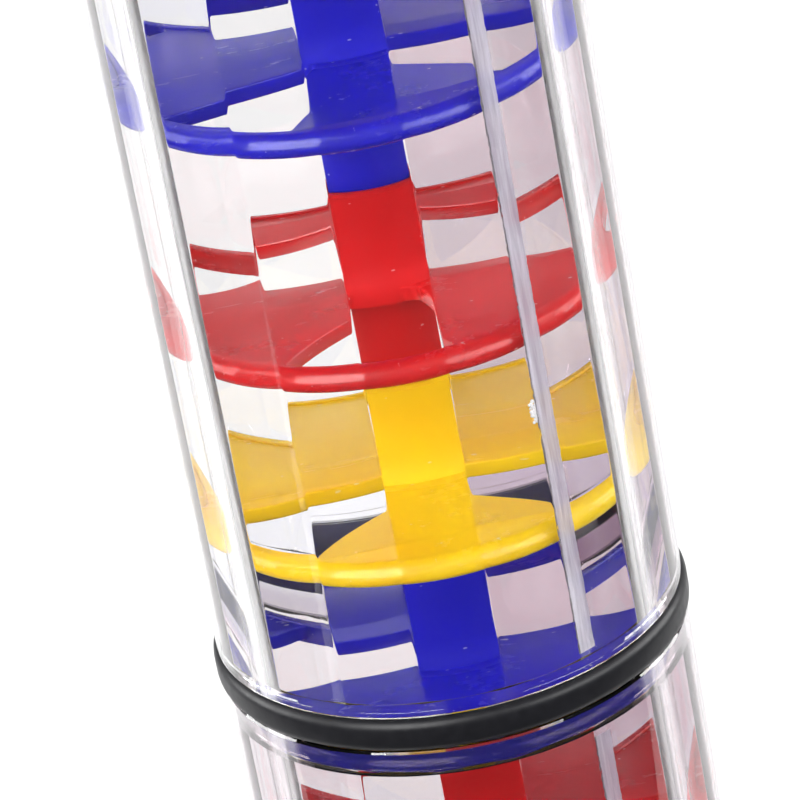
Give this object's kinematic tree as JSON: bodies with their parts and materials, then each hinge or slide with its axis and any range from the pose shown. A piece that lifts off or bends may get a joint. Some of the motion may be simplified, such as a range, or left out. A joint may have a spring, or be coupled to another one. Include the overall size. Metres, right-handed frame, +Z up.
{
  "type": "rainstick",
  "caption": "Clear-tube rainstick with a black middle ring, end caps and a spine of blue, red and yellow windowed discs that loose beads fall through.",
  "frame": {"origin": "middle of the flat end face of the bottom cap, which the rainstick stands on", "axes": "+Z up along the tube; -Y is the side the main view looks at"},
  "size_m": [0.0528, 0.0528, 0.4],
  "materials": {
    "clear_plastic": "clear, polished",
    "black_rubber": "satin",
    "blue_plastic": "gloss, slightly translucent",
    "red_plastic": "gloss, slightly translucent",
    "yellow_plastic": "gloss, slightly translucent"
  },
  "bodies": {
    "rainstick": {"upper_tube": "clear_plastic", "lower_tube": "clear_plastic", "centre_ring": "black_rubber", "disc_01_red": "red_plastic", "disc_02_blue": "blue_plastic", "disc_03_yellow": "yellow_plastic", "disc_04_red": "red_plastic", "disc_05_blue": "blue_plastic", "disc_06_yellow": "yellow_plastic", "disc_07_red": "red_plastic", "disc_08_blue": "blue_plastic", "disc_09_yellow": "yellow_plastic", "disc_10_red": "red_plastic", "disc_11_blue": "blue_plastic", "disc_12_yellow": "yellow_plastic", "disc_13_red": "red_plastic", "disc_14_blue": "blue_plastic", "disc_15_yellow": "yellow_plastic", "bottom_cap": "red_plastic", "top_cap": "red_plastic"},
    "bead_01_body": {"bead_01": "red_plastic"},
    "bead_02_body": {"bead_02": "yellow_plastic"},
    "bead_03_body": {"bead_03": "blue_plastic"},
    "bead_04_body": {"bead_04": "red_plastic"},
    "bead_05_body": {"bead_05": "yellow_plastic"},
    "bead_06_body": {"bead_06": "blue_plastic"},
    "bead_07_body": {"bead_07": "red_plastic"},
    "bead_08_body": {"bead_08": "yellow_plastic"},
    "bead_09_body": {"bead_09": "blue_plastic"},
    "bead_10_body": {"bead_10": "red_plastic"},
    "bead_11_body": {"bead_11": "yellow_plastic"},
    "bead_12_body": {"bead_12": "blue_plastic"},
    "bead_13_body": {"bead_13": "red_plastic"},
    "bead_14_body": {"bead_14": "yellow_plastic"},
    "bead_15_body": {"bead_15": "blue_plastic"},
    "bead_16_body": {"bead_16": "red_plastic"},
    "bead_17_body": {"bead_17": "yellow_plastic"},
    "bead_18_body": {"bead_18": "blue_plastic"}
  },
  "joints": [
    {"name": "bead_01_lift", "type": "slide", "parent": "rainstick", "child": "bead_01_body", "axis": [0, 0, 1], "range_m": [0, 0.025]},
    {"name": "bead_02_lift", "type": "slide", "parent": "rainstick", "child": "bead_02_body", "axis": [0, 0, 1], "range_m": [0, 0.025]},
    {"name": "bead_03_lift", "type": "slide", "parent": "rainstick", "child": "bead_03_body", "axis": [0, 0, 1], "range_m": [0, 0.025]},
    {"name": "bead_04_lift", "type": "slide", "parent": "rainstick", "child": "bead_04_body", "axis": [0, 0, 1], "range_m": [0, 0.025]},
    {"name": "bead_05_lift", "type": "slide", "parent": "rainstick", "child": "bead_05_body", "axis": [0, 0, 1], "range_m": [0, 0.025]},
    {"name": "bead_06_lift", "type": "slide", "parent": "rainstick", "child": "bead_06_body", "axis": [0, 0, 1], "range_m": [0, 0.025]},
    {"name": "bead_07_lift", "type": "slide", "parent": "rainstick", "child": "bead_07_body", "axis": [0, 0, 1], "range_m": [0, 0.025]},
    {"name": "bead_08_lift", "type": "slide", "parent": "rainstick", "child": "bead_08_body", "axis": [0, 0, 1], "range_m": [0, 0.025]},
    {"name": "bead_09_lift", "type": "slide", "parent": "rainstick", "child": "bead_09_body", "axis": [0, 0, 1], "range_m": [0, 0.025]},
    {"name": "bead_10_lift", "type": "slide", "parent": "rainstick", "child": "bead_10_body", "axis": [0, 0, 1], "range_m": [0, 0.025]},
    {"name": "bead_11_lift", "type": "slide", "parent": "rainstick", "child": "bead_11_body", "axis": [0, 0, 1], "range_m": [0, 0.025]},
    {"name": "bead_12_lift", "type": "slide", "parent": "rainstick", "child": "bead_12_body", "axis": [0, 0, 1], "range_m": [0, 0.025]},
    {"name": "bead_13_lift", "type": "slide", "parent": "rainstick", "child": "bead_13_body", "axis": [0, 0, 1], "range_m": [0, 0.025]},
    {"name": "bead_14_lift", "type": "slide", "parent": "rainstick", "child": "bead_14_body", "axis": [0, 0, 1], "range_m": [0, 0.025]},
    {"name": "bead_15_lift", "type": "slide", "parent": "rainstick", "child": "bead_15_body", "axis": [0, 0, 1], "range_m": [0, 0.025]},
    {"name": "bead_16_lift", "type": "slide", "parent": "rainstick", "child": "bead_16_body", "axis": [0, 0, 1], "range_m": [0, 0.025]},
    {"name": "bead_17_lift", "type": "slide", "parent": "rainstick", "child": "bead_17_body", "axis": [0, 0, 1], "range_m": [0, 0.025]},
    {"name": "bead_18_lift", "type": "slide", "parent": "rainstick", "child": "bead_18_body", "axis": [0, 0, 1], "range_m": [0, 0.025]}
  ]
}
